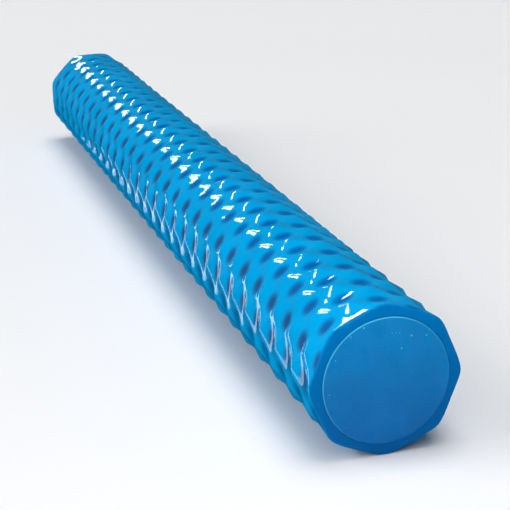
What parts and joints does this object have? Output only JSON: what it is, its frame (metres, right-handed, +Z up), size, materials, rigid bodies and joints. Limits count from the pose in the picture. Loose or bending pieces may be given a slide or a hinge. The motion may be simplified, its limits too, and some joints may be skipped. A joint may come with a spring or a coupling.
{
  "type": "pool noodle",
  "caption": "Thick straight foam pool float with a glossy vinyl dip coat over a net of staggered dimples, and a flat round disc in each end.",
  "frame": {"origin": "under the middle of the noodle, on the surface that it lies on", "axes": "+Z up, X along the noodle with the end seen first in the picture at +X, -Y the side seen in the picture"},
  "size_m": [1.1684, 0.1246, 0.1246],
  "materials": {
    "coat": "gloss",
    "disc": "satin",
    "foam": "matte"
  },
  "bodies": {
    "root": {"vinyl_coat": "coat", "foam_sleeve": "foam", "foam_core": "foam", "near_end_disc": "disc", "far_end_disc": "disc"}
  },
  "joints": []
}
